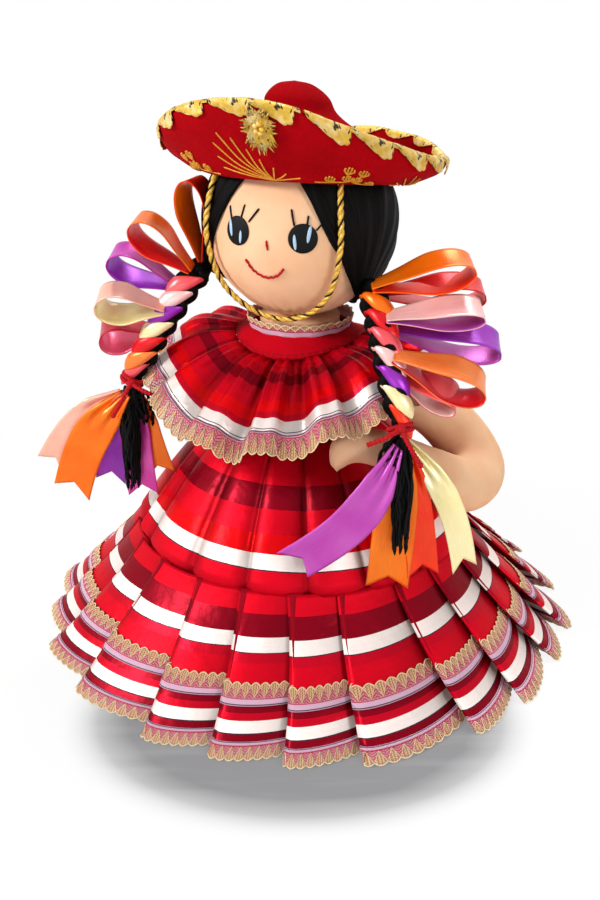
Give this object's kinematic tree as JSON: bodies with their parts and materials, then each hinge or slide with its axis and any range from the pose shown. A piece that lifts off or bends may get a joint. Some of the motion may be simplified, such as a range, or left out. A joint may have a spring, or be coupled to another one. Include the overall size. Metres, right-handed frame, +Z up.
{
  "type": "rag doll",
  "caption": "Stuffed cloth doll in a tiered striped dress with a shoulder ruffle, ribbon braids and a felt sombrero; hat tips, braids lift, arms and legs swing",
  "frame": {"origin": "on the floor, under the middle of the skirt", "axes": "+Z up; the doll faces -Y and its own left is +X"},
  "size_m": [0.3564, 0.3546, 0.3497],
  "materials": {
    "skin_cloth": "matte woven cotton over stuffing",
    "black_yarn": "soft black yarn",
    "black_thread": "satin stitch",
    "red_thread": "twisted thread",
    "red_satin": "satin cloth",
    "striped_satin": "satin cloth in red stripes",
    "white_cotton": "stiff cotton net",
    "pink_lace": "narrow edging lace",
    "red_felt": "wool felt",
    "gold_braid": "metallic thread",
    "black_shoe_felt": "felt",
    "orange_ribbon": "satin ribbon",
    "red_ribbon": "satin ribbon",
    "purple_ribbon": "satin ribbon",
    "mauve_ribbon": "satin ribbon",
    "peach_ribbon": "satin ribbon",
    "cream_ribbon": "satin ribbon",
    "salmon_ribbon": "satin ribbon",
    "magenta_ribbon": "satin ribbon"
  },
  "bodies": {
    "doll": {"bodice": "red_satin", "collar_lace": "pink_lace", "eye_left": "black_thread", "eye_right": "black_thread", "flounce": "striped_satin", "flounce_lace": "pink_lace", "hair": "black_yarn", "head": "skin_cloth", "hem_lace": "pink_lace", "mouth_stitch": "red_thread", "nose_stitch": "red_thread", "petticoat": "white_cotton", "ruffle": "striped_satin", "ruffle_lace": "pink_lace", "torso": "skin_cloth", "upper_skirt": "striped_satin", "yoke": "red_satin"},
    "hat": {"sombrero": "red_felt", "rim_trim": "gold_braid", "hat_flower": "gold_braid", "chin_cord": "gold_braid"},
    "braid_left_side": {"braid_left": "black_yarn", "tassel_left": "black_yarn", "tie_left": "red_thread", "loop_left_1": "orange_ribbon", "loop_left_2": "salmon_ribbon", "loop_left_3": "mauve_ribbon", "loop_left_4": "purple_ribbon", "loop_left_5": "red_ribbon", "loop_left_6": "salmon_ribbon", "tail_left_1": "purple_ribbon", "tail_left_2": "orange_ribbon", "tail_left_3": "red_ribbon", "tail_left_4": "cream_ribbon"},
    "braid_right_side": {"braid_right": "black_yarn", "tassel_right": "black_yarn", "tie_right": "red_thread", "loop_right_1": "red_ribbon", "loop_right_2": "orange_ribbon", "loop_right_3": "magenta_ribbon", "loop_right_4": "peach_ribbon", "loop_right_5": "purple_ribbon", "tail_right_1": "orange_ribbon", "tail_right_2": "salmon_ribbon", "tail_right_3": "magenta_ribbon", "tail_right_4": "red_ribbon", "tail_right_5": "purple_ribbon"},
    "left_arm": {"arm_left": "skin_cloth"},
    "right_arm": {"arm_right": "skin_cloth"},
    "left_leg": {"leg_left": "skin_cloth", "shoe_left": "black_shoe_felt"},
    "right_leg": {"leg_right": "skin_cloth", "shoe_right": "black_shoe_felt"}
  },
  "joints": [
    {"name": "hat_tip", "type": "hinge", "parent": "doll", "child": "hat", "pos_m": [0, 0, 0.269], "axis": [-1, 0, 0], "range_deg": [-4, 14]},
    {"name": "braid_left_lift", "type": "hinge", "parent": "doll", "child": "braid_left_side", "pos_m": [0.04383, -0.0233, 0.23424], "axis": [-0.4695, -0.8829, 0], "range_deg": [0, 10]},
    {"name": "braid_right_lift", "type": "hinge", "parent": "doll", "child": "braid_right_side", "pos_m": [-0.04849, -0.02578, 0.24339], "axis": [-0.4695, 0.8829, 0], "range_deg": [0, 10]},
    {"name": "shoulder_left", "type": "hinge", "parent": "doll", "child": "left_arm", "pos_m": [0.0503, 0, 0.172], "axis": [0, 0, 1], "range_deg": [0, 15]},
    {"name": "shoulder_right", "type": "hinge", "parent": "doll", "child": "right_arm", "pos_m": [-0.0503, 0, 0.172], "axis": [0, 0, 1], "range_deg": [0, 20]},
    {"name": "hip_left", "type": "hinge", "parent": "doll", "child": "left_leg", "pos_m": [0.019, 0, 0.065], "axis": [-1, 0, 0], "range_deg": [-25, 55]},
    {"name": "hip_right", "type": "hinge", "parent": "doll", "child": "right_leg", "pos_m": [-0.019, 0, 0.065], "axis": [-1, 0, 0], "range_deg": [-25, 55]}
  ]
}
